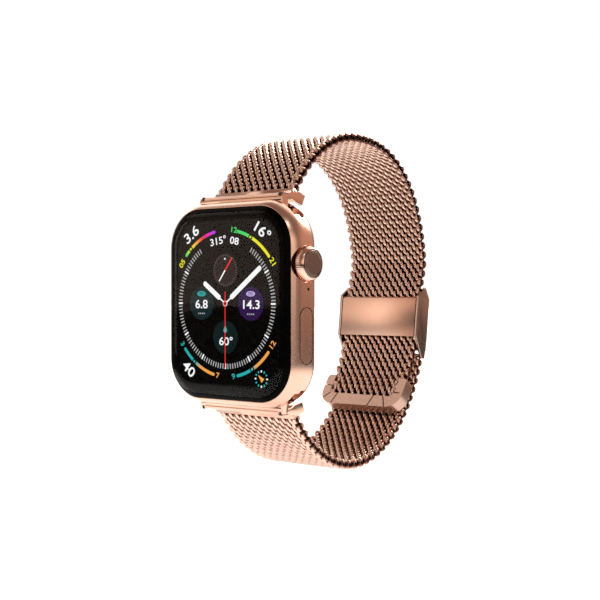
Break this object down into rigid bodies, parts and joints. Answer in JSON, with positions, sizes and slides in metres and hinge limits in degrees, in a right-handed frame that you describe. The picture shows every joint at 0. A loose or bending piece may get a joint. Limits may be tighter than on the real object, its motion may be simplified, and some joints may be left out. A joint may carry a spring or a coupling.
{
  "type": "smartwatch",
  "caption": "Rounded-rectangle wrist computer with a dark glass front, crown and side button, on a woven metal loop band with a clasp and a magnetic tongue end.",
  "frame": {"origin": "middle of the rear crystal, the flat face that rests on the wrist", "axes": "+Y out of the rear crystal into the wrist, so the display faces -Y; +Z towards twelve o'clock; +X towards the crown side"},
  "size_m": [0.0354, 0.0569, 0.0703],
  "materials": {
    "satin_aluminium": "satin rose",
    "polished_rose": "polished rose",
    "crown_cap": "dark satin",
    "brushed_rose": "brushed rose",
    "woven_rose": "woven wire, rose",
    "release_metal": "satin rose",
    "cover_glass": "clear, dark edge",
    "display": "lit panel",
    "rear_glass": "dark crystal",
    "back_ceramic": "black glazed",
    "seal_rubber": "matte",
    "steel": "plain",
    "coil_copper": "enamelled copper",
    "board": "board",
    "black_plastic": "moulded",
    "cell": "foil"
  },
  "bodies": {
    "case": {"case_shell": "satin_aluminium", "front_glass": "cover_glass", "glass_gasket": "seal_rubber", "display_panel": "display", "back_cover": "back_ceramic", "rear_crystal": "rear_glass", "charging_coil": "coil_copper", "sensor_board": "board", "battery": "cell", "main_board": "board", "system_module": "steel", "haptic_motor": "steel", "speaker": "black_plastic", "microphone": "black_plastic", "display_connector": "black_plastic", "crown_bushing": "steel", "crown_seal": "seal_rubber", "crown_switch": "black_plastic", "crown_sensor": "black_plastic", "side_button_seal": "seal_rubber", "side_button_switch": "black_plastic", "release_spring_top": "steel", "release_spring_bottom": "steel"},
    "crown_press_stage": {"crown_thrust_cap": "steel"},
    "crown": {"crown_head": "polished_rose", "crown_disc": "crown_cap", "crown_shaft": "steel"},
    "side_button": {"side_button": "satin_aluminium", "side_button_plunger": "steel"},
    "release_top": {"release_button_top": "release_metal"},
    "release_bottom": {"release_button_bottom": "release_metal"},
    "adapter_top": {"adapter_top": "polished_rose", "hinge_pin_top": "steel"},
    "adapter_bottom": {"adapter_bottom": "polished_rose", "hinge_pin_bottom": "steel"},
    "latch_top": {"latch_pin_top": "steel"},
    "latch_bottom": {"latch_pin_bottom": "steel"},
    "band_top_1": {"band_top_1": "woven_rose", "end_bar_top": "polished_rose"},
    "band_top_2": {"band_top_2": "woven_rose"},
    "band_top_3": {"band_top_3": "woven_rose"},
    "band_top_4": {"band_top_4": "woven_rose"},
    "tail": {"tail_upper": "woven_rose"},
    "tongue": {"tail_lower": "woven_rose", "tongue_shell": "brushed_rose", "tongue_backing": "brushed_rose", "tongue_magnet_1": "steel", "tongue_magnet_2": "steel", "tongue_magnet_3": "steel"},
    "band_bottom_1": {"band_bottom_1": "woven_rose", "end_bar_bottom": "polished_rose"},
    "band_bottom_2": {"band_bottom_2": "woven_rose"},
    "clasp": {"band_bottom_3": "woven_rose", "clasp_frame": "brushed_rose", "clasp_pin": "steel"},
    "clasp_flap": {"clasp_flap": "brushed_rose"}
  },
  "joints": [
    {"name": "crown_press", "type": "slide", "parent": "case", "child": "crown_press_stage", "axis": [-1, 0, 0], "range_m": [0, 0.00035], "stiffness_N_per_m": 1500},
    {"name": "crown_turn", "type": "hinge", "parent": "crown_press_stage", "child": "crown", "pos_m": [0.0173, -0.00565, 0.0076], "axis": [1, 0, 0], "continuous": true},
    {"name": "side_button_press", "type": "slide", "parent": "case", "child": "side_button", "axis": [-1, 0, 0], "range_m": [0, 0.00035], "stiffness_N_per_m": 1500},
    {"name": "release_top_press", "type": "slide", "parent": "case", "child": "release_top", "axis": [0, -1, 0], "range_m": [0, 0.0006], "stiffness_N_per_m": 300},
    {"name": "release_bottom_press", "type": "slide", "parent": "case", "child": "release_bottom", "axis": [0, -1, 0], "range_m": [0, 0.0006], "stiffness_N_per_m": 300},
    {"name": "band_slide_top", "type": "slide", "parent": "case", "child": "adapter_top", "axis": [1, 0, 0], "range_m": [-0.03, 0.03]},
    {"name": "band_slide_bottom", "type": "slide", "parent": "case", "child": "adapter_bottom", "axis": [1, 0, 0], "range_m": [-0.03, 0.03]},
    {"name": "latch_top_pull", "type": "slide", "parent": "adapter_top", "child": "latch_top", "axis": [0, 0, 1], "range_m": [-0.0002, 0.0014]},
    {"name": "latch_bottom_pull", "type": "slide", "parent": "adapter_bottom", "child": "latch_bottom", "axis": [0, 0, -1], "range_m": [-0.0002, 0.0014]},
    {"name": "loop_size", "type": "hinge", "parent": "adapter_top", "child": "band_top_1", "pos_m": [0, -0.0011, 0.0209], "axis": [1, 0, 0], "range_deg": [-1.5, 3]},
    {"name": "band_flex_top_2", "type": "hinge", "parent": "band_top_1", "child": "band_top_2", "pos_m": [0, 0.03732, 0.028], "axis": [1, 0, 0], "range_deg": [-1.12, 0.58]},
    {"name": "band_flex_top_3", "type": "hinge", "parent": "band_top_2", "child": "band_top_3", "pos_m": [0, 0.04206, 0.021], "axis": [1, 0, 0], "range_deg": [-1.08, 0.57]},
    {"name": "band_flex_top_4", "type": "hinge", "parent": "band_top_3", "child": "band_top_4", "pos_m": [0, 0.04514, 0.0095], "axis": [1, 0, 0], "range_deg": [-0.85, 0.45]},
    {"name": "tail_flex", "type": "hinge", "parent": "band_top_4", "child": "tail", "pos_m": [0, 0.0423, -0.0081], "axis": [1, 0, 0], "range_deg": [-4.25, 8.45]},
    {"name": "tongue_peel", "type": "hinge", "parent": "tail", "child": "tongue", "pos_m": [0, 0.03865, -0.01449], "axis": [-1, 0, 0], "range_deg": [0, 25]},
    {"name": "band_hinge_bottom", "type": "hinge", "parent": "adapter_bottom", "child": "band_bottom_1", "pos_m": [0, -0.0011, -0.0209], "axis": [1, 0, 0], "range_deg": [-3.08, 1.56]},
    {"name": "band_flex_bottom_2", "type": "hinge", "parent": "band_bottom_1", "child": "band_bottom_2", "pos_m": [0, 0.03128, -0.03], "axis": [1, 0, 0], "range_deg": [-0.83, 1.6]},
    {"name": "band_flex_bottom_3", "type": "hinge", "parent": "band_bottom_2", "child": "clasp", "pos_m": [0, 0.03603, -0.026], "axis": [1, 0, 0], "range_deg": [-0.84, 1.62]},
    {"name": "clasp_flap_open", "type": "hinge", "parent": "clasp", "child": "clasp_flap", "pos_m": [0, 0.04179, 0.00083], "axis": [-1, 0, 0], "range_deg": [0, 80]}
  ],
  "couplings": [
    {"joint": "band_flex_top_2", "follows": "loop_size", "ratio": -0.3552},
    {"joint": "band_flex_top_3", "follows": "loop_size", "ratio": -0.3449},
    {"joint": "band_flex_top_4", "follows": "loop_size", "ratio": -0.2678},
    {"joint": "tail_flex", "follows": "loop_size", "ratio": 2.8},
    {"joint": "band_hinge_bottom", "follows": "loop_size", "ratio": -1.01},
    {"joint": "band_flex_bottom_2", "follows": "loop_size", "ratio": 0.5178},
    {"joint": "band_flex_bottom_3", "follows": "loop_size", "ratio": 0.5243},
    {"joint": "band_slide_bottom", "follows": "band_slide_top", "ratio": 1},
    {"joint": "latch_top_pull", "follows": "release_top_press", "ratio": 1},
    {"joint": "latch_bottom_pull", "follows": "release_bottom_press", "ratio": 1}
  ]
}
